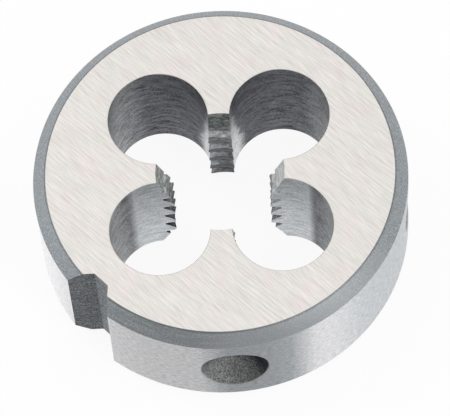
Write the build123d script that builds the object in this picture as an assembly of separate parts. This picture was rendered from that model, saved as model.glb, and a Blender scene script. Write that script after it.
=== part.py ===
from build123d import *
from math import ceil, radians, tan
import os

# A solid round threading die, M8 x 1.25 right hand, all sizes in millimetres and degrees.
# Origin on the axis in the bottom face, +Z up along the axis, the lead side of the thread on top.

# Body
OUTER_DIAMETER = 25.0
THICKNESS = 9.0
EDGE_CHAMFER = 0.85

# Chip holes, which leave four lands between them
CHIP_HOLE_COUNT = 4
CHIP_HOLE_DIAMETER = 6.7
CHIP_CIRCLE_DIAMETER = 11.5
FIRST_CHIP_HOLE_AZIMUTH = 45.0

# Thread, with the standard's flats at its crest and root
NOMINAL_DIAMETER = 8.0
PITCH = 1.25
FLANK_ANGLE = 60.0
THREAD_DEPTH_SHARE = 0.5413       # of the pitch, from root to crest
ROOT_FLAT_SHARE = 0.125           # of the pitch
GROOVE_START_HEIGHT = 0.75        # of a groove's middle at azimuth 0, above the bottom face
GROOVE_ARC = 44.0                 # wider than a land, so each groove ends in the open
GROOVE_OVERCUT = 0.1              # how far the groove's cutter reaches into the open bore
MOUTH_DIAMETER = 8.6
LEAD_HALF_ANGLE = 20.0            # top side, where the die starts on the rod
EXIT_HALF_ANGLE = 25.0            # bottom side

# Notch in the rim, outside one chip hole, for the screw that spreads a split die
NOTCH_AZIMUTH = 223.5             # milled 1.5 degrees off the chip hole's centre line
NOTCH_FLOOR_WIDTH = 1.25
NOTCH_FLOOR_RADIUS = 11.0         # from the die's axis to the floor
NOTCH_FLANK_ANGLE = 85.0          # between the two flanks
NOTCH_CORNER_RADIUS = 0.2

# Conical dimples in the rim for the stock's screws
DIMPLE_DIAMETER = 5.0
DIMPLE_CONE_ANGLE = 90.0
FIXING_DIMPLE_TURN = 135.0        # from the notch, either way
CLOSING_DIMPLE_TURN = 49.0        # from the notch, either way, so that their screws close a split die

CUT_PAST = 1.0                    # how far each cutter runs past the surface that it cuts

OUTER_RADIUS = OUTER_DIAMETER / 2
MINOR_RADIUS = NOMINAL_DIAMETER / 2 - THREAD_DEPTH_SHARE * PITCH
MOUTH_RADIUS = MOUTH_DIAMETER / 2
GROOVE_CUTTER_DEPTH = NOMINAL_DIAMETER / 2 - MINOR_RADIUS + GROOVE_OVERCUT
LEAD_LENGTH = (MOUTH_RADIUS - MINOR_RADIUS) / tan(radians(LEAD_HALF_ANGLE))
EXIT_LENGTH = (MOUTH_RADIUS - MINOR_RADIUS) / tan(radians(EXIT_HALF_ANGLE))
ON_BASE = (Align.CENTER, Align.CENTER, Align.MIN)


def turned_blank():
    """The disc with a 45 degree chamfer round each face."""
    disc = Cylinder(OUTER_RADIUS, THICKNESS, align=ON_BASE)
    rims = disc.edges().filter_by(GeomType.CIRCLE)
    return chamfer(rims, EDGE_CHAMFER)


def bore():
    """The hole at the thread's crests, opening in a long lead cone above and an exit cone below."""
    lead_spread = CUT_PAST * tan(radians(LEAD_HALF_ANGLE))
    exit_spread = CUT_PAST * tan(radians(EXIT_HALF_ANGLE))
    half_section = Polygon(
        (0, -CUT_PAST),
        (MOUTH_RADIUS + exit_spread, -CUT_PAST),
        (MINOR_RADIUS, EXIT_LENGTH),
        (MINOR_RADIUS, THICKNESS - LEAD_LENGTH),
        (MOUTH_RADIUS + lead_spread, THICKNESS + CUT_PAST),
        (0, THICKNESS + CUT_PAST),
        align=None,
    )
    return revolve(Plane.XZ * half_section, Axis.Z)


def land_azimuths():
    """Directions of the four lands, each half way between two chip holes."""
    step = 360 / CHIP_HOLE_COUNT
    return [FIRST_CHIP_HOLE_AZIMUTH + step / 2 + step * land for land in range(CHIP_HOLE_COUNT)]


def groove_arc(azimuth, height):
    """The stretch of the right-hand helical groove that crosses one land, its middle at this height."""
    rise = PITCH * GROOVE_ARC / 360
    begin = azimuth - GROOVE_ARC / 2
    path = Rot(0, 0, begin) * Pos(0, 0, height - rise / 2) * Helix(PITCH, rise, NOMINAL_DIAMETER / 2)
    root_half = ROOT_FLAT_SHARE * PITCH / 2
    open_half = root_half + GROOVE_CUTTER_DEPTH * tan(radians(FLANK_ANGLE / 2))
    section = Polygon(
        (0, -root_half),
        (0, root_half),
        (-GROOVE_CUTTER_DEPTH, open_half),
        (-GROOVE_CUTTER_DEPTH, -open_half),
        align=None,
    )
    outward = Vector(1, 0, 0).rotate(Axis.Z, begin)
    start = Plane(origin=path @ 0, x_dir=outward, z_dir=path % 0)
    return sweep(start * section, path=path, is_frenet=True)


def thread_grooves():
    """Every turn of the thread on every land, all arcs of one helix that climbs a pitch each turn."""
    arcs = []
    for azimuth in land_azimuths():
        first_height = GROOVE_START_HEIGHT + PITCH * azimuth / 360
        lowest_turn = -ceil(first_height / PITCH)
        turns_up = ceil(THICKNESS / PITCH) + 1
        for turn in range(lowest_turn, lowest_turn + turns_up + 1):
            arcs.append(groove_arc(azimuth, first_height + turn * PITCH))
    return arcs


def chip_holes():
    """Four plain through holes that break into the bore."""
    hole = Cylinder(CHIP_HOLE_DIAMETER / 2, THICKNESS + 2 * CUT_PAST, align=ON_BASE)
    places = PolarLocations(CHIP_CIRCLE_DIAMETER / 2, CHIP_HOLE_COUNT, FIRST_CHIP_HOLE_AZIMUTH)
    return [place * Pos(0, 0, -CUT_PAST) * hole for place in places]


def notch():
    """A flat-bottomed vee, milled down the whole rim with a cutter whose corners are rounded."""
    floor_half = NOTCH_FLOOR_WIDTH / 2
    reach = OUTER_RADIUS + CUT_PAST
    open_half = floor_half + (reach - NOTCH_FLOOR_RADIUS) * tan(radians(NOTCH_FLANK_ANGLE / 2))
    outline = Polygon(
        (NOTCH_FLOOR_RADIUS, -floor_half),
        (reach, -open_half),
        (reach, open_half),
        (NOTCH_FLOOR_RADIUS, floor_half),
        align=None,
    )
    floor_corners = outline.vertices().sort_by(Axis.X)[:2]
    outline = fillet(floor_corners, NOTCH_CORNER_RADIUS)
    cutter = extrude(Pos(0, 0, -CUT_PAST) * outline, THICKNESS + 2 * CUT_PAST)
    return Rot(0, 0, NOTCH_AZIMUTH) * cutter


def dimple(azimuth):
    """A countersink-shaped recess that points at the axis at half the die's thickness."""
    cone_depth = DIMPLE_DIAMETER / 2 / tan(radians(DIMPLE_CONE_ANGLE / 2))
    length = cone_depth + CUT_PAST
    open_radius = length * tan(radians(DIMPLE_CONE_ANGLE / 2))
    cone = Cone(0, open_radius, length, align=ON_BASE)
    outward = Pos(OUTER_RADIUS - cone_depth, 0, THICKNESS / 2) * Rot(0, 90, 0)
    return Rot(0, 0, azimuth) * outward * cone


def dimples():
    """Two dimples for fixing the die opposite the notch, and two beside it that close a split die."""
    turns = (FIXING_DIMPLE_TURN, -FIXING_DIMPLE_TURN, CLOSING_DIMPLE_TURN, -CLOSING_DIMPLE_TURN)
    return [dimple(NOTCH_AZIMUTH + turn) for turn in turns]


def die_body():
    body = turned_blank() - bore()
    body = body - chip_holes()
    body = body - thread_grooves()
    body = body - notch()
    return body - dimples()


os.makedirs("parts", exist_ok=True)
export_step(die_body(), "parts/die_body.step")
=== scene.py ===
import bmesh
import bpy
import math
from mathutils import Matrix, Vector


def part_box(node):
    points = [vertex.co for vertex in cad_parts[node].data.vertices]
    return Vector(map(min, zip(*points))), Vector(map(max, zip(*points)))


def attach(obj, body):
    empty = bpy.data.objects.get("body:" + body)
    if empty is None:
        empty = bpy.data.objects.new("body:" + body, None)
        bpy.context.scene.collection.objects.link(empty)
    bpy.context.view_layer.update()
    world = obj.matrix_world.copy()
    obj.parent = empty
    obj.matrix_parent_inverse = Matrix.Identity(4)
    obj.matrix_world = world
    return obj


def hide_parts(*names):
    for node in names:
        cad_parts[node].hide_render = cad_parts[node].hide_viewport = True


# A solid round threading die, M8 x 1.25 right hand, dressed over its CAD solid.
# The die's mesh is cut in millimetres, with the sizes of the CAD model, and scaled to metres at the end.

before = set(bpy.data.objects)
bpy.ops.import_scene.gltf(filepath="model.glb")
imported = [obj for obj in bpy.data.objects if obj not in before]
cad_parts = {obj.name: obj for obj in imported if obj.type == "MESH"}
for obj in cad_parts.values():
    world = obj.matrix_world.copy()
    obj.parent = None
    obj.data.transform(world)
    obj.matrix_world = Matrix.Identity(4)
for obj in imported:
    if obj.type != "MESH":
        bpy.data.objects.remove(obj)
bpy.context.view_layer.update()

MM = 0.001

# Body, from the CAD node's box
NODE = "die_body"
_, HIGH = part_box(NODE)
OUTER_RADIUS = HIGH.x / MM
THICKNESS = HIGH.z / MM
EDGE_CHAMFER = 0.85               # by 45 degrees

# Chip holes
CHIP_HOLE_COUNT = 4
CHIP_HOLE_RADIUS = 3.35
CHIP_CIRCLE_RADIUS = 5.75
FIRST_CHIP_HOLE_AZIMUTH = 45.0

# Thread
NOMINAL_RADIUS = 4.0
PITCH = 1.25
DEPTH_SHARE = 0.5413              # the thread's depth, as a share of the pitch
ROOT_SHARE = 0.125                # and the width of the flat at its root
MINOR_RADIUS = NOMINAL_RADIUS - DEPTH_SHARE * PITCH
ROOT_HALF = ROOT_SHARE * PITCH / 2
FLANK_HALF_ANGLE = 30.0
GROOVE_START_HEIGHT = 0.75        # of the groove's middle at azimuth 0
MOUTH_RADIUS = 4.3                # of both cones, at the faces
LEAD_HALF_ANGLE = 20.0
EXIT_HALF_ANGLE = 25.0

# Notch and dimples in the rim
NOTCH_AZIMUTH = 223.5
NOTCH_FLOOR_RADIUS = 11.0
NOTCH_FLOOR_HALF = 0.625
NOTCH_FLANK_HALF_ANGLE = 42.5
NOTCH_CORNER_RADIUS = 0.2
DIMPLE_RADIUS = 2.5
DIMPLE_HALF_ANGLE = 45.0
DIMPLE_TIP_RADIUS = 0.12          # of a small flat that the CAD's plain cone hasn't
DIMPLE_TURNS = (135.0, -135.0, 49.0, -49.0)   # degrees from the notch

# Fineness of the mesh
RIM_SEGMENTS = 480
HOLE_SEGMENTS = 192
BORE_SEGMENTS = 360
DIMPLE_SEGMENTS = 144
HELIX_STEPS = 180                 # a turn
EDGE_BREAK = 0.05                 # softened width of the bevels' edges
MOUTH_BREAK = 0.03                # the same at the chip holes' mouths
EDGE_STEPS = 3
CORNER_STEPS = 6                  # round a corner of the notch's floor
SMOOTH_LIMIT = 30.0               # degrees; sharper folds stay creases
HAIR = 0.0005                     # shorter edges than this are closed up

# How far the cutters reach out of the die
CUT_PAST = 0.4                    # the bore and the chip holes, past both faces
NOTCH_PAST = 1.0                  # the notch, past both faces
NOTCH_REACH = 2.0                 # the notch, outside the rim
DIMPLE_REACH = 1.0                # a dimple, outside the rim
GROOVE_REACH = 0.1                # the groove, into the open bore

# Shares of a facet by which the cutters are turned, so that their edges don't fall together
HOLE_START = 0.3
BORE_START = 0.4
GROOVE_START = 0.15
DIMPLE_START = 0.2

# Camera, in the die's frame
CAMERA_TURN = 3.32                # degrees round +Z from straight in front
CAMERA_REACH = 120.79             # mm from the die's axis
CAMERA_HEIGHT = 256.70            # mm above the floor
CAMERA_TILT = 64.517              # degrees below level
CAMERA_PAN = -0.054               # degrees to the left
CAMERA_ROLL = -5.166              # degrees anticlockwise
IMAGE_WIDTH_PX = 450
FOCAL_LENGTH_PX = 4151.3
SENSOR_MM = 36.0

# Light, in the die's frame; directions point from the die
FLOOR_GLOW = 0.92                 # share of the floor that is white whatever falls on it
TENT_LEVEL = 0.9                  # the tent's light from high up
HORIZON_LEVEL = 0.7               # and at the horizon
TENT_TOP = 0.6                    # height, on a unit sphere, from which the tent has its full level
UPRIGHT = 0.35                    # share that heights count for, so that the dark patches stand tall
DARK_PATCHES = (                  # azimuth, elevation, inner and outer half angle in degrees, light left
    (-68.0, 6.0, 10.0, 28.0, 0.0),
    (-115.0, 11.0, 12.0, 48.0, 0.55),
)
LAMP_TARGET = (0, 0, 5)           # mm
LAMPS = (                         # name, place and size in mm, watts
    ("strip", (250, -250, 421), (90, 280), 0.5),
    ("left", (-374, 107, 389), (250, 250), 0.5),
)
FLOOR_HALF = 1.5                  # half the floor's width, in metres

ZONES = ("face", "rim", "bevel", "chip_hole", "thread", "notch", "dimple")


# ---------------------------------------------------------------- node helpers

class Graph:
    """The nodes of a material or world, added one at a time with inputs linked or set by name or index."""

    def __init__(self, owner):
        owner.use_nodes = True
        self.owner = owner
        self.tree = owner.node_tree
        self.bsdf = self.tree.nodes.get("Principled BSDF")

    def feed(self, node, inputs):
        for key, value in inputs.items():
            if isinstance(value, bpy.types.NodeSocket):
                self.tree.links.new(value, node.inputs[key])
            else:
                node.inputs[key].default_value = value

    def add(self, kind, inputs=None, **settings):
        node = self.tree.nodes.new(kind)
        for key, value in settings.items():
            setattr(node, key, value)
        self.feed(node, inputs or {})
        return node

    def math(self, operation, *values):
        return self.add("ShaderNodeMath", dict(enumerate(values)), operation=operation).outputs[0]

    def ramp(self, value, low, high, to_low=0.0, to_high=1.0):
        """value from low..high to to_low..to_high, clamped."""
        inputs = {"Value": value, "From Min": low, "From Max": high, "To Min": to_low, "To Max": to_high}
        return self.add("ShaderNodeMapRange", inputs).outputs[0]

    def mix_colour(self, share, first, second, blend="MIX"):
        node = self.add("ShaderNodeMix", data_type="RGBA", blend_type=blend)
        self.feed(node, {0: share, 6: first, 7: second})
        return node.outputs[2]

    def in_mm(self):
        """Object coordinates in millimetres."""
        source = self.add("ShaderNodeTexCoord").outputs["Object"]
        return self.add("ShaderNodeVectorMath", {0: source, "Scale": 1 / MM}, operation="SCALE").outputs[0]

    def place(self, scale, turn=0.0):
        """Object coordinates in millimetres, turned about Z and scaled."""
        turned = self.add("ShaderNodeMapping", {"Vector": self.in_mm(), "Rotation": (0, 0, turn)}).outputs[0]
        return self.add("ShaderNodeMapping", {"Vector": turned, "Scale": scale}).outputs[0]

    def position(self):
        """Distance from the die's axis, x, y and height, in millimetres."""
        point = self.in_mm()
        flat = self.add("ShaderNodeVectorMath", {0: point, 1: (1, 1, 0)}, operation="MULTIPLY").outputs[0]
        radius = self.add("ShaderNodeVectorMath", {0: flat}, operation="LENGTH").outputs["Value"]
        parts = self.add("ShaderNodeSeparateXYZ", {0: point}).outputs
        return radius, parts[0], parts[1], parts[2]

    def arc_and_height(self):
        """Arc length along the rim from azimuth 0, and height, in millimetres."""
        _, across, back, height = self.position()
        return self.math("MULTIPLY", self.math("ARCTAN2", back, across), OUTER_RADIUS), height

    def unrolled(self, scale):
        """The rim laid flat, x along the arc and y up, in millimetres, scaled."""
        arc, height = self.arc_and_height()
        joined = self.add("ShaderNodeCombineXYZ", {0: arc, 1: height}).outputs[0]
        return self.add("ShaderNodeMapping", {"Vector": joined, "Scale": scale}).outputs[0]

    def near_azimuth(self, azimuth, inner, outer, raggedness=0.0):
        """1 within inner of an azimuth of the rim, and 0 from outer on, in millimetres of arc."""
        arc, _ = self.arc_and_height()
        away = self.math("ABSOLUTE", self.math("SUBTRACT", arc, OUTER_RADIUS * math.radians(azimuth)))
        return self.ramp(self.math("ADD", away, raggedness), inner, outer, 1.0, 0.0)

    def facing(self, way):
        """How nearly the surface faces way, -1..1."""
        normal = self.add("ShaderNodeNewGeometry").outputs["True Normal"]
        product = self.add("ShaderNodeVectorMath", {0: normal, 1: way}, operation="DOT_PRODUCT")
        return product.outputs["Value"]

    def noise(self, vector, detail, roughness):
        inputs = {"Vector": vector, "Scale": 1.0, "Detail": detail, "Roughness": roughness}
        return self.add("ShaderNodeTexNoise", inputs).outputs["Fac"]

    def bump(self, height, distance_mm):
        inputs = {"Height": height, "Distance": distance_mm * MM, "Strength": 1.0}
        return self.add("ShaderNodeBump", inputs).outputs[0]


def rgb(red, green, blue):
    """A colour from its 8-bit screen values."""
    def linear(value):
        share = value / 255
        return share / 12.92 if share <= 0.04045 else ((share + 0.055) / 1.055) ** 2.4
    return (linear(red), linear(green), linear(blue), 1.0)


# ---------------------------------------------------------------- finishes

# Lengths are in millimetres, and noise scales in features a millimetre.
# Some colours here are painted light and shade, marked where they stand: the front of the rim,
# a stretch of the bevel, the notch's flanks, the dimples' dark side and bright edge, the thread's roots,
# crests, lower teeth and right-hand land, and the paler hole walls to either side.
HAIRLINE_TURN = math.radians(47.6)
CROSSING = math.radians(5.0)      # how far each of the two sets of hairlines is turned from that
SCRATCH_TURN = HAIRLINE_TURN + 0.06   # radians

RIM_DARK_STRETCHES = (                    # azimuth, inner and outer half width, tint
    # painted shade: a dark reflection painted across the front of the rim
    (-80.0, 2.5, 4.4, (209, 213, 216)),
    # darker and a little bluer
    (-29.0, 3.2, 6.4, (243, 247, 248)),
)
STRETCH_WAVER = 0.8                 # how far the dashes of the rim move a dark stretch's edge

# Dark lines, a painted dark reflection on the crests and a painted highlight at the dimples' edge:
# the radius where each starts, and the one where it is full
INNER_EDGE = OUTER_RADIUS - EDGE_CHAMFER
INNER_LINE = (INNER_EDGE + 0.2, INNER_EDGE + 0.12)
# painted shade: a dark reflection painted along the thread's crests
CREST_SHADE_RADII = (MINOR_RADIUS + 0.07, MINOR_RADIUS + 0.03)
# painted highlight: a bright line round the dimples' edge
EDGE_HIGHLIGHT = (OUTER_RADIUS - 0.09, OUTER_RADIUS - 0.05)

# Stretches of the bevel: azimuth, inner and outer half width
TURNED_STRETCH = (-112.0, 3.0, 6.5)   # shows the lines of its turning
LIT_STRETCH = (-68.0, 4.0, 9.5)      # painted light: paler

NOTCH_WAY = (math.cos(math.radians(NOTCH_AZIMUTH)), math.sin(math.radians(NOTCH_AZIMUTH)), 0.0)
SHADE_WAY = (-0.6, 0.0, -0.8)     # painted shade: the dimples' walls that face this way are black

LAND_SIDE = (2.5, 3.5)            # x or y between which a land's own tones come in
SHADE_DEPTHS = (0.06, 0.5)         # painted shade: below the crest, where a groove starts to darken and is dark
BACK_SHADE_DEPTH = 0.17            # the back land's painted shade starts this much deeper
LEAD_HEIGHTS = (5.8, 7.4)         # between these the crests pass into the lead cone
FIRST_TOOTH = (7.3, 7.7)          # and the back land's second tooth into its first

RAKE_RADIUS = 6.4                 # walls nearer to the axis are ground, as the teeth's cutting faces
RAKE_WAVER = 0.5                  # how far the arcs move that edge
RAKE_BLUR = 0.25                  # half its width
BACK_RAKE_DROP = 1.5              # the back land's flanks are ground less far out by this at the top
BACK_RAKE_TEAR = 2.6              # and their edge is torn this far
GROUND_LOW = 2.0                  # height from which the ground walls get darker towards the top
LIT_MIDDLE = 0.3                 # x about which painted light makes the hardened walls paler to either side
LIT_ASIDE = (5.3, 7.4)           # and how far from it they start to and are palest


def face_colour(graph):
    """Fine crossing hairlines with a few bright scratches, over a faint pink and green mottle."""
    lines = graph.noise(graph.place((0.35, 7.0, 1.0), HAIRLINE_TURN - CROSSING), 4.0, 0.65)
    fine = graph.noise(graph.place((0.7, 15.0, 1.0), HAIRLINE_TURN + CROSSING), 3.0, 0.6)
    grain = graph.ramp(graph.math("ADD", lines, fine), 0.75, 1.25)
    steel = graph.mix_colour(grain, rgb(220, 216, 213), rgb(253, 249, 247))
    mottle = graph.ramp(graph.noise(graph.place((0.7, 0.7, 0.7)), 2.0, 0.5), 0.35, 0.65)
    tint = graph.mix_colour(mottle, rgb(255, 252, 252), rgb(252, 254, 250))
    tinted = graph.mix_colour(1.0, steel, tint, "MULTIPLY")
    marks = graph.noise(graph.place((0.35, 8.0, 3.0), SCRATCH_TURN), 3.0, 0.7)
    scratch = graph.ramp(marks, 0.64, 0.7, 0.0, 0.85)
    return grain, grain, graph.mix_colour(scratch, tinted, rgb(252, 250, 248))


def rim_colour(graph):
    """Short dashes of cylindrical grinding, darker and a little bluer over two stretches, the front one a
    painted dark reflection.
    """
    dashes = graph.noise(graph.unrolled((2.6, 9.0, 1.0)), 3.0, 0.7)
    grain = graph.ramp(dashes, 0.32, 0.68)
    steel = graph.mix_colour(grain, rgb(197, 197, 199), rgb(245, 245, 246))
    waver = graph.math("MULTIPLY", dashes, STRETCH_WAVER)
    for azimuth, inner, outer, tint in RIM_DARK_STRETCHES:
        # the first stretch is painted shade, a dark reflection; the second only darkens and blues a little
        stretch_share = graph.near_azimuth(azimuth, inner, outer, waver)
        steel = graph.mix_colour(stretch_share, steel, rgb(*tint), "MULTIPLY")
    return grain, grain, steel


def blasted_grain(graph, pitch, dark, light):
    """A blasted finish: its noise, its grain, and steel from dark to light by it, with paler specks."""
    noise = graph.noise(graph.place((pitch, pitch, pitch)), 2.0, 0.75)
    grain = graph.ramp(noise, 0.36, 0.64)
    specks = graph.ramp(graph.noise(graph.place((9.0, 9.0, 9.0)), 0.0, 0.5), 0.68, 0.76, 0.0, 0.5)
    steel = graph.mix_colour(grain, dark, light)
    return noise, grain, graph.mix_colour(specks, steel, rgb(205, 208, 210))


def bevel_colour(graph):
    """Blasted, with painted light paler over one stretch, turning lines over another and a dark line inside.
    """
    noise, grain, bevel_steel = blasted_grain(graph, 14.0, rgb(134, 139, 143), rgb(182, 187, 191))
    # painted light: a paler stretch of the bevel
    lit_share = graph.math("MULTIPLY", graph.near_azimuth(*LIT_STRETCH), 0.4)
    steel = graph.mix_colour(lit_share, bevel_steel, rgb(212, 216, 219))
    radius, _, _, _ = graph.position()
    ragged = graph.math("ADD", radius, graph.math("MULTIPLY", noise, 0.16))
    line = graph.ramp(ragged, *INNER_LINE, 0.0, 0.5)
    lined = graph.mix_colour(line, steel, rgb(84, 88, 90))
    turning = graph.ramp(graph.noise(graph.unrolled((0.25, 8.0, 1.0)), 1.0, 0.5), 0.42, 0.55, 0.0, 0.3)
    turned = graph.math("MULTIPLY", turning, graph.near_azimuth(*TURNED_STRETCH))
    return grain, grain, graph.mix_colour(turned, lined, rgb(118, 124, 122))


def notch_colour(graph):
    """Blasted over the lines of the cutter, with painted shade making the flanks darker than the floor."""
    # painted shade: the flanks are a darker copy of the floor's finish
    _, grain, shaded_flank = blasted_grain(graph, 12.0, rgb(58, 62, 65), rgb(144, 148, 151))
    _, _, floor = blasted_grain(graph, 12.0, rgb(96, 100, 104), rgb(182, 186, 190))
    on_floor = graph.ramp(graph.facing(NOTCH_WAY), 0.9, 0.98)
    steel = graph.mix_colour(on_floor, shaded_flank, floor)
    lines = graph.ramp(graph.noise(graph.place((0.8, 0.8, 6.0)), 3.0, 0.7), 0.38, 0.6, 0.0, 0.45)
    return grain, grain, graph.mix_colour(lines, steel, rgb(66, 70, 73))


def dimple_colour(graph):
    """Rough from the drill, with blotchy painted shade black on one side, and a painted highlight at the
    very edge.
    """
    _, grain, steel = blasted_grain(graph, 11.0, rgb(116, 118, 118), rgb(194, 195, 193))
    # painted shade: black, with blotchy edges, on the walls that face one fixed way
    blotches = graph.noise(graph.place((3.0, 3.0, 3.0)), 3.0, 0.7)
    ragged = graph.math("ADD", graph.facing(SHADE_WAY), graph.math("MULTIPLY", blotches, 0.9))
    shaded = graph.mix_colour(graph.ramp(ragged, -0.55, 0.65), steel, rgb(32, 35, 39))
    # painted highlight: bright at the very edge
    radius, _, _, _ = graph.position()
    highlight = graph.ramp(radius, *EDGE_HIGHLIGHT, 0.0, 0.5)
    return grain, grain, graph.mix_colour(highlight, shaded, rgb(222, 225, 227))


def groove_depth(graph, radius, height):
    """How far a point of the thread lies outside its crest, or outside the lead cone near the top."""
    below_top = graph.math("SUBTRACT", THICKNESS, height)
    cone = graph.math("MULTIPLY", below_top, math.tan(math.radians(LEAD_HALF_ANGLE)))
    crest = graph.math("MAXIMUM", graph.math("SUBTRACT", MOUTH_RADIUS, cone), MINOR_RADIUS)
    return graph.math("SUBTRACT", radius, crest)


def lead_colour(graph, grain, height, at_back, at_right):
    """The lead cone, lapped: dark and then pale down the back land, and with painted light palest on the
    right-hand one.
    """
    back_first = graph.mix_colour(grain, rgb(80, 90, 87), rgb(206, 210, 208))
    back_second = graph.mix_colour(grain, rgb(150, 153, 155), rgb(246, 247, 248))
    back = graph.mix_colour(graph.ramp(height, *FIRST_TOOTH), back_second, back_first)
    left = graph.mix_colour(grain, rgb(116, 124, 120), rgb(242, 245, 244))
    # painted light: the right-hand land's lead cone is a paler copy
    right = graph.mix_colour(grain, rgb(176, 180, 179), rgb(251, 253, 253))
    return graph.mix_colour(at_back, graph.mix_colour(at_right, left, right), back)


def tooth_colour(graph, grain, radius, height):
    """The teeth below the lead cone, with painted shade: darker downwards into the bore, and a dark
    reflection painted on their crests.
    """
    # painted shade: the flanks darken low down in the bore
    upper = graph.mix_colour(grain, rgb(100, 103, 105), rgb(182, 185, 187))
    lower = graph.mix_colour(grain, rgb(58, 60, 62), rgb(146, 149, 151))
    flanks = graph.mix_colour(graph.ramp(height, 1.0, 4.5), lower, upper)
    # painted shade: a dark line on the crests, standing in for a dark reflection
    crest_shade = graph.ramp(radius, *CREST_SHADE_RADII, 0.0, 0.8)
    return graph.mix_colour(crest_shade, flanks, rgb(74, 77, 79))


def thread_colour(graph):
    """Lapped on the lead cone, with painted shade dark down in the roots and painted light paler on the
    right-hand land. Real steel is metallic all over, but the cone isn't here on the right, so that it comes
    out as bright as in the photo."""
    radius, across, back, height = graph.position()
    at_right = graph.ramp(across, *LAND_SIDE)
    at_back = graph.ramp(back, *LAND_SIDE)
    on_cone = graph.ramp(height, *LEAD_HEIGHTS)
    streaks = graph.noise(graph.place((2.5, 2.5, 7.0)), 4.0, 0.75)
    grain = graph.ramp(streaks, 0.34, 0.66)
    lead = lead_colour(graph, grain, height, at_back, at_right)
    crests = graph.mix_colour(on_cone, tooth_colour(graph, grain, radius, height), lead)
    # painted shade: the grooves darken towards their roots
    root_shade = graph.mix_colour(grain, rgb(50, 52, 53), rgb(104, 106, 107))
    # painted light: paler roots on the right-hand land
    lit_right_root = graph.mix_colour(grain, rgb(96, 99, 101), rgb(156, 159, 160))
    root = graph.mix_colour(at_right, root_shade, lit_right_root)
    spared = graph.math("MULTIPLY", at_back, BACK_SHADE_DEPTH)
    depth = graph.math("SUBTRACT", groove_depth(graph, radius, height), spared)
    not_metallic = graph.math("MULTIPLY", at_right, on_cone)
    graph.feed(graph.bsdf, {"Metallic": graph.math("SUBTRACT", 1.0, not_metallic)})
    shine = graph.math("SUBTRACT", 1.0, on_cone)
    return grain, shine, graph.mix_colour(graph.ramp(depth, *SHADE_DEPTHS), crests, root)


def ground_share(graph, arcs, radius, at_back, height):
    """1 where a hole's wall is ground: near the axis, with a torn edge that rises on the back land."""
    torn = graph.math("MULTIPLY", graph.math("SUBTRACT", arcs, 0.5), BACK_RAKE_TEAR)
    drop = graph.ramp(height, GROUND_LOW, THICKNESS, 0.0, BACK_RAKE_DROP)
    shift = graph.math("MULTIPLY", at_back, graph.math("ADD", torn, drop))
    limit = graph.math("SUBTRACT", RAKE_RADIUS, graph.math("MULTIPLY", arcs, RAKE_WAVER))
    past = graph.math("SUBTRACT", radius, graph.math("SUBTRACT", limit, shift))
    return graph.ramp(past, RAKE_BLUR, -RAKE_BLUR)


def hardened_colour(graph, grain, across):
    """The scale left by hardening, with painted light making it paler on the walls that lie far to the left
    and right.
    """
    aside = graph.math("ABSOLUTE", graph.math("SUBTRACT", across, LIT_MIDDLE))
    # painted light: paler hardened walls far to either side
    painted_light = graph.ramp(aside, *LIT_ASIDE)
    dark_scale = graph.mix_colour(grain, rgb(50, 51, 58), rgb(134, 135, 142))
    lit_scale = graph.mix_colour(grain, rgb(104, 107, 109), rgb(202, 205, 207))
    return graph.mix_colour(painted_light, dark_scale, lit_scale)


def ground_colour(graph, grain, at_back, height):
    """Bare ground steel, brighter low down, and brightest on the back land's flanks."""
    upper = graph.mix_colour(grain, rgb(128, 132, 135), rgb(186, 189, 192))
    lower = graph.mix_colour(grain, rgb(160, 164, 167), rgb(218, 221, 223))
    front = graph.mix_colour(graph.ramp(height, GROUND_LOW, THICKNESS), lower, upper)
    back = graph.mix_colour(grain, rgb(160, 163, 165), rgb(245, 246, 247))
    return graph.mix_colour(at_back, front, back)


def hole_colour(graph):
    """Torn arcs round a hole's wall: dark as hardened on the outside, ground bright towards the lands."""
    arcs = graph.noise(graph.place((0.9, 0.9, 4.0)), 5.0, 0.75)
    speckle = graph.noise(graph.place((7.0, 7.0, 7.0)), 2.0, 0.7)
    both = graph.math("ADD", arcs, graph.math("MULTIPLY", speckle, 0.6))
    grain = graph.ramp(both, 0.62, 0.98)
    radius, across, back, height = graph.position()
    at_back = graph.ramp(back, *LAND_SIDE)
    bright = ground_share(graph, arcs, radius, at_back, height)
    hardened = hardened_colour(graph, grain, across)
    ground = ground_colour(graph, grain, at_back, height)
    return grain, bright, graph.mix_colour(bright, hardened, ground)


QUARTER_TURN = 0.25


def metal(name, colouring, roughness, bump_mm, anisotropy=0.0):
    """A steel finish. colouring(graph) gives its relief and its shine, 0..1, and its colour, and may
    make it less metallic in places; roughness is (where it shines most, where it shines least)."""
    graph = Graph(bpy.data.materials.new(name))
    graph.bsdf.inputs["Metallic"].default_value = 1.0
    grain, shine, colour = colouring(graph)
    rough = graph.ramp(shine, 0.0, 1.0, roughness[1], roughness[0])
    graph.feed(graph.bsdf, {"Base Color": colour, "Roughness": rough})
    if anisotropy:
        graph.bsdf.inputs["Anisotropic"].default_value = anisotropy
        graph.bsdf.inputs["Anisotropic Rotation"].default_value = QUARTER_TURN
        tangent = graph.add("ShaderNodeTangent", direction_type="RADIAL", axis="Z").outputs[0]
        graph.feed(graph.bsdf, {"Tangent": tangent})
    graph.feed(graph.bsdf, {"Normal": graph.bump(grain, bump_mm)})
    return graph.owner


def make_materials():
    return [
        metal("ground_face", face_colour, (0.34, 0.5), 0.003),
        metal("ground_rim", rim_colour, (0.55, 0.65), 0.001, anisotropy=0.9),
        metal("grey_bevel", bevel_colour, (0.4, 0.6), 0.004),
        metal("reamed_hole", hole_colour, (0.38, 0.55), 0.004),
        metal("cut_thread", thread_colour, (0.45, 0.75), 0.004),
        metal("milled_notch", notch_colour, (0.5, 0.7), 0.006),
        metal("drilled_dimple", dimple_colour, (0.5, 0.7), 0.006),
    ]


# ---------------------------------------------------------------- solids, in millimetres

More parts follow.
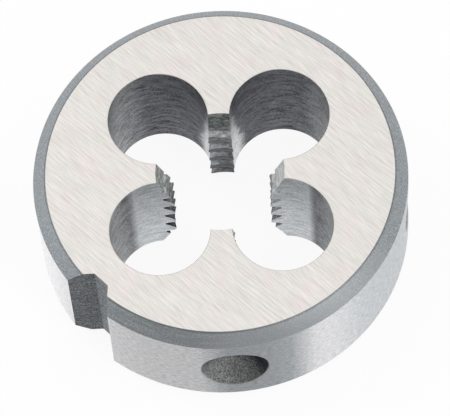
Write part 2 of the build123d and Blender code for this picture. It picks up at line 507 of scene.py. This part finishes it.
def new_object(name, vertices, faces, zones):
    mesh = bpy.data.meshes.new(name)
    mesh.from_pydata(vertices, [], faces)
    for material in MATERIALS:
        mesh.materials.append(material)
    for polygon, zone in zip(mesh.polygons, zones):
        polygon.material_index = ZONES.index(zone)
    mesh.update()
    piece = bpy.data.objects.new(name, mesh)
    bpy.context.scene.collection.objects.link(piece)
    return piece


def lathe(name, profile, zones, segments, start=0.0):
    """A closed solid turned about Z from (radius, height) points listed upwards; zones has one per stretch,
    and the two end caps take the first and the last. start turns its facets by that share of one."""
    vertices = []
    for radius, height in profile:
        for step in range(segments):
            angle = 2 * math.pi * (step + start) / segments
            vertices.append((radius * math.cos(angle), radius * math.sin(angle), height))
    faces = []
    face_zones = []
    for row, zone in enumerate(zones):
        for step in range(segments):
            across = (step + 1) % segments
            base = row * segments
            above = base + segments
            faces.append((base + step, base + across, above + across, above + step))
            face_zones.append(zone)
    faces.append(tuple(reversed(range(segments))))
    face_zones.append(zones[0])
    top = (len(profile) - 1) * segments
    faces.append(tuple(range(top, top + segments)))
    face_zones.append(zones[-1])
    return new_object(name, vertices, faces, face_zones)


def softened(before, corner, after, setback, steps):
    """Points of a small curve in place of a corner."""
    start = corner + (before - corner).normalized() * setback
    end = corner + (after - corner).normalized() * setback
    points = []
    for step in range(steps + 1):
        t = step / steps
        points.append(start * (1 - t) ** 2 + corner * 2 * t * (1 - t) + end * t ** 2)
    return points


def turned_blank():
    """The disc with its two bevels, each circular edge just broken."""
    flat = OUTER_RADIUS - EDGE_CHAMFER
    corners = [
        Vector((0.0, 0.0)),
        Vector((flat, 0.0)),
        Vector((OUTER_RADIUS, EDGE_CHAMFER)),
        Vector((OUTER_RADIUS, THICKNESS - EDGE_CHAMFER)),
        Vector((flat, THICKNESS)),
        Vector((0.0, THICKNESS)),
    ]
    profile = []
    for index in range(1, len(corners) - 1):
        before, corner, after = corners[index - 1:index + 2]
        profile += softened(before, corner, after, EDGE_BREAK / 2, EDGE_STEPS)
    bevel = ["bevel"] * EDGE_STEPS
    zones = bevel + ["bevel"] + bevel + ["rim"] + bevel + ["bevel"] + bevel
    blank = lathe("blank", [tuple(p) for p in profile], zones, RIM_SEGMENTS)
    caps = blank.data.polygons[-2:]
    for polygon in caps:
        polygon.material_index = ZONES.index("face")
    return blank


def chip_hole(azimuth):
    """A plain hole whose two mouths are just broken."""
    flare = MOUTH_BREAK + CUT_PAST
    profile = [
        (CHIP_HOLE_RADIUS + flare, -CUT_PAST),
        (CHIP_HOLE_RADIUS, MOUTH_BREAK),
        (CHIP_HOLE_RADIUS, THICKNESS - MOUTH_BREAK),
        (CHIP_HOLE_RADIUS + flare, THICKNESS + CUT_PAST),
    ]
    hole = lathe("hole", profile, ["face", "chip_hole", "face"], HOLE_SEGMENTS, HOLE_START)
    angle = math.radians(azimuth)
    place = (CHIP_CIRCLE_RADIUS * math.cos(angle), CHIP_CIRCLE_RADIUS * math.sin(angle), 0)
    hole.data.transform(Matrix.Translation(place))
    return hole


def bore():
    """The hole at the thread's crests, with its lead cone above and its exit cone below."""
    lead_slope = math.tan(math.radians(LEAD_HALF_ANGLE))
    exit_slope = math.tan(math.radians(EXIT_HALF_ANGLE))
    widening = MOUTH_RADIUS - MINOR_RADIUS
    profile = [
        (MOUTH_RADIUS + CUT_PAST * exit_slope, -CUT_PAST),
        (MINOR_RADIUS, widening / exit_slope),
        (MINOR_RADIUS, THICKNESS - widening / lead_slope),
        (MOUTH_RADIUS + CUT_PAST * lead_slope, THICKNESS + CUT_PAST),
    ]
    return lathe("bore", profile, ["thread"] * 3, BORE_SEGMENTS, BORE_START)


def thread_groove():
    """The whole right-hand helical groove, as one bar of trapezoid section that climbs through the die."""
    inner_radius = MINOR_RADIUS - GROOVE_REACH
    open_half = ROOT_HALF + (NOMINAL_RADIUS - inner_radius) * math.tan(math.radians(FLANK_HALF_ANGLE))
    section = [
        (inner_radius, -open_half),
        (NOMINAL_RADIUS, -ROOT_HALF),
        (NOMINAL_RADIUS, ROOT_HALF),
        (inner_radius, open_half),
    ]
    first_turn = -2
    last_turn = math.ceil(THICKNESS / PITCH) + 1
    steps = (last_turn - first_turn) * HELIX_STEPS
    vertices = []
    for step in range(steps + 1):
        turns = first_turn + (step + GROOVE_START) / HELIX_STEPS
        angle = 2 * math.pi * turns
        for radius, offset in section:
            height = GROOVE_START_HEIGHT + PITCH * turns + offset
            vertices.append((radius * math.cos(angle), radius * math.sin(angle), height))
    sides = len(section)
    faces = []
    for step in range(steps):
        for side in range(sides):
            low = step * sides + side
            high = step * sides + (side + 1) % sides
            faces.append((low, low + sides, high + sides, high))
    end = steps * sides
    faces.append(tuple(reversed(range(sides))))
    faces.append(tuple(range(end, end + sides)))
    return new_object("groove", vertices, faces, ["thread"] * len(faces))


def notch():
    """The vee with its narrow flat floor, down the whole rim."""
    slope = math.tan(math.radians(NOTCH_FLANK_HALF_ANGLE))
    reach = OUTER_RADIUS + NOTCH_REACH
    open_half = NOTCH_FLOOR_HALF + (reach - NOTCH_FLOOR_RADIUS) * slope
    corners = [
        Vector((reach, -open_half)),
        Vector((NOTCH_FLOOR_RADIUS, -NOTCH_FLOOR_HALF)),
        Vector((NOTCH_FLOOR_RADIUS, NOTCH_FLOOR_HALF)),
        Vector((reach, open_half)),
    ]
    setback = NOTCH_CORNER_RADIUS * math.tan(math.radians(90 - NOTCH_FLANK_HALF_ANGLE) / 2)
    outline = [corners[0]]
    outline += softened(corners[0], corners[1], corners[2], setback, CORNER_STEPS)
    outline += softened(corners[1], corners[2], corners[3], setback, CORNER_STEPS)
    outline.append(corners[3])
    vertices = []
    for height in (-NOTCH_PAST, THICKNESS + NOTCH_PAST):
        vertices += [(p.x, p.y, height) for p in outline]
    count = len(outline)
    faces = [(i, i + count, (i + 1) % count + count, (i + 1) % count) for i in range(count)]
    faces.append(tuple(range(count)))
    faces.append(tuple(reversed(range(count, 2 * count))))
    cutter = new_object("notch", vertices, faces, ["notch"] * len(faces))
    cutter.data.transform(Matrix.Rotation(math.radians(NOTCH_AZIMUTH), 4, "Z"))
    return cutter


def dimple(azimuth):
    """A conical recess, its tip the small flat that a countersink's point leaves."""
    slope = math.tan(math.radians(DIMPLE_HALF_ANGLE))
    depth = DIMPLE_RADIUS / slope
    tip_depth = DIMPLE_TIP_RADIUS / slope
    profile = [
        (DIMPLE_TIP_RADIUS, -depth + tip_depth),
        (DIMPLE_RADIUS + slope * DIMPLE_REACH, DIMPLE_REACH),
    ]
    cutter = lathe("dimple", profile, ["dimple"], DIMPLE_SEGMENTS, DIMPLE_START)
    outward = Matrix.Rotation(math.radians(90), 4, "Y")
    place = Matrix.Translation((OUTER_RADIUS, 0, THICKNESS / 2))
    cutter.data.transform(Matrix.Rotation(math.radians(azimuth), 4, "Z") @ place @ outward)
    return cutter


def cut(body, cutter):
    """body less cutter, by Blender's exact boolean; the cutter is used up."""
    for piece in (body, cutter):
        edit = bmesh.new()
        edit.from_mesh(piece.data)
        bmesh.ops.recalc_face_normals(edit, faces=edit.faces)
        edit.to_mesh(piece.data)
        edit.free()
    modifier = body.modifiers.new("cut", "BOOLEAN")
    modifier.operation = "DIFFERENCE"
    modifier.solver = "EXACT"
    modifier.material_mode = "INDEX"
    modifier.object = cutter
    bpy.context.view_layer.update()
    seen = body.evaluated_get(bpy.context.evaluated_depsgraph_get())
    result = bpy.data.meshes.new_from_object(seen)
    body.modifiers.remove(modifier)
    body.data = result
    bpy.data.objects.remove(cutter)


def tidy_mesh(mesh):
    """Closes up the hair-thin faces that the cuts leave where facets cross."""
    edit = bmesh.new()
    edit.from_mesh(mesh)
    bmesh.ops.remove_doubles(edit, verts=edit.verts, dist=HAIR)
    bmesh.ops.dissolve_degenerate(edit, edges=edit.edges, dist=HAIR)
    edit.to_mesh(mesh)
    edit.free()


def shade_smooth(piece):
    """Round walls shade as round; creases and flat faces stay as they are."""
    mesh = piece.data
    for polygon in mesh.polygons:
        polygon.use_smooth = True
    mesh.set_sharp_from_angle(angle=math.radians(SMOOTH_LIMIT))
    weighted = piece.modifiers.new("weighted", "WEIGHTED_NORMAL")
    weighted.mode = "FACE_AREA"
    weighted.weight = 100
    weighted.keep_sharp = True


def make_die():
    body = turned_blank()
    cut(body, bore())
    cut(body, thread_groove())
    for number in range(CHIP_HOLE_COUNT):
        cut(body, chip_hole(FIRST_CHIP_HOLE_AZIMUTH + number * 360 / CHIP_HOLE_COUNT))
    cut(body, notch())
    for turn in DIMPLE_TURNS:
        cut(body, dimple(NOTCH_AZIMUTH + turn))
    tidy_mesh(body.data)
    shade_smooth(body)
    body.name = "threading_die"
    body.data.name = "threading_die"
    body.data.transform(Matrix.Scale(MM, 4))
    return body


# ---------------------------------------------------------------- stage

def make_floor():
    mesh = bpy.data.meshes.new("floor")
    half = FLOOR_HALF
    corners = [(-half, -half, 0), (half, -half, 0), (half, half, 0), (-half, half, 0)]
    mesh.from_pydata(corners, [], [(0, 1, 2, 3)])
    floor = bpy.data.objects.new("floor", mesh)
    bpy.context.scene.collection.objects.link(floor)
    graph = Graph(bpy.data.materials.new("floor_white"))
    graph.feed(graph.bsdf, {"Base Color": (0.95, 0.95, 0.95, 1), "Roughness": 0.9})
    path = graph.add("ShaderNodeLightPath").outputs
    seen = graph.math("MAXIMUM", path["Is Camera Ray"], path["Is Glossy Ray"])
    seen = graph.math("MAXIMUM", seen, path["Is Transmission Ray"])
    glow = graph.add("ShaderNodeEmission", {"Color": (1, 1, 1, 1), "Strength": 1.0}).outputs[0]
    share = graph.math("MULTIPLY", seen, FLOOR_GLOW)
    mixed = graph.add("ShaderNodeMixShader", {0: share, 1: graph.bsdf.outputs[0], 2: glow}).outputs[0]
    output = graph.tree.nodes["Material Output"]
    graph.tree.links.new(mixed, output.inputs["Surface"])
    mesh.materials.append(graph.owner)


def area_lamp(name, place_mm, target_mm, size_mm, watts):
    lamp = bpy.data.lights.new(name, "AREA")
    lamp.shape = "RECTANGLE"
    lamp.size = size_mm[0] * MM
    lamp.size_y = size_mm[1] * MM
    lamp.energy = watts
    piece = bpy.data.objects.new(name, lamp)
    piece.location = Vector(place_mm) * MM
    aim = Vector(target_mm) - Vector(place_mm)
    piece.rotation_euler = aim.to_track_quat("-Z", "Y").to_euler()
    bpy.context.scene.collection.objects.link(piece)


def make_world():
    """A white light tent, a little dimmer low down, with dark patches low in front of the die."""
    world = bpy.data.worlds.new("studio")
    graph = Graph(world)
    way = graph.add("ShaderNodeTexCoord").outputs["Generated"]
    height = graph.add("ShaderNodeSeparateXYZ", {0: way}).outputs[2]
    level = graph.ramp(height, 0.0, TENT_TOP, HORIZON_LEVEL, TENT_LEVEL)
    way = graph.add("ShaderNodeVectorMath", {0: way, 1: (1, 1, UPRIGHT)}, operation="MULTIPLY").outputs[0]
    way = graph.add("ShaderNodeVectorMath", {0: way}, operation="NORMALIZE").outputs[0]
    for azimuth, elevation, inner, outer, left in DARK_PATCHES:
        turn = Matrix.Rotation(math.radians(azimuth), 3, "Z")
        centre = turn @ Vector((math.cos(math.radians(elevation)), 0, math.sin(math.radians(elevation))))
        toward = graph.add("ShaderNodeVectorMath", {0: way, 1: centre}, operation="DOT_PRODUCT")
        inputs = {
            "Value": toward.outputs["Value"],
            "From Min": math.cos(math.radians(outer)),
            "From Max": math.cos(math.radians(inner)),
            "To Min": 1.0,
            "To Max": left,
        }
        share = graph.add("ShaderNodeMapRange", inputs, interpolation_type="SMOOTHSTEP").outputs[0]
        level = graph.math("MULTIPLY", level, share)
    background = world.node_tree.nodes["Background"]
    graph.feed(background, {"Color": level, "Strength": 1.0})
    bpy.context.scene.world = world


def make_lights():
    make_world()
    for name, place_mm, size_mm, watts in LAMPS:
        area_lamp(name, place_mm, LAMP_TARGET, size_mm, watts)


def make_camera():
    """Stands in front of the die, a little to the right, tilted down at it, panned and rolled."""
    tilt = math.radians(CAMERA_TILT)
    pan = math.radians(CAMERA_PAN)
    roll = math.radians(CAMERA_ROLL)
    level = Vector((math.cos(pan), math.sin(pan), 0))
    forward = Vector((-math.sin(pan) * math.cos(tilt), math.cos(pan) * math.cos(tilt), -math.sin(tilt)))
    upright = level.cross(forward)
    right = level * math.cos(roll) + upright * math.sin(roll)
    up = upright * math.cos(roll) - level * math.sin(roll)
    axes = Matrix((right, up, -forward)).transposed().to_4x4()
    place = Matrix.Translation(Vector((0, -CAMERA_REACH, CAMERA_HEIGHT)) * MM)
    data = bpy.data.cameras.new("camera")
    data.sensor_fit = "HORIZONTAL"
    data.sensor_width = SENSOR_MM
    data.lens = FOCAL_LENGTH_PX / IMAGE_WIDTH_PX * SENSOR_MM
    data.clip_start = 0.01
    camera = bpy.data.objects.new("camera", data)
    camera.matrix_world = Matrix.Rotation(math.radians(CAMERA_TURN), 4, "Z") @ place @ axes
    bpy.context.scene.collection.objects.link(camera)
    bpy.context.scene.camera = camera


MATERIALS = make_materials()
die = make_die()
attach(die, "root")
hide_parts(NODE)
make_floor()
make_lights()
make_camera()
bpy.context.scene.view_settings.view_transform = "Standard"
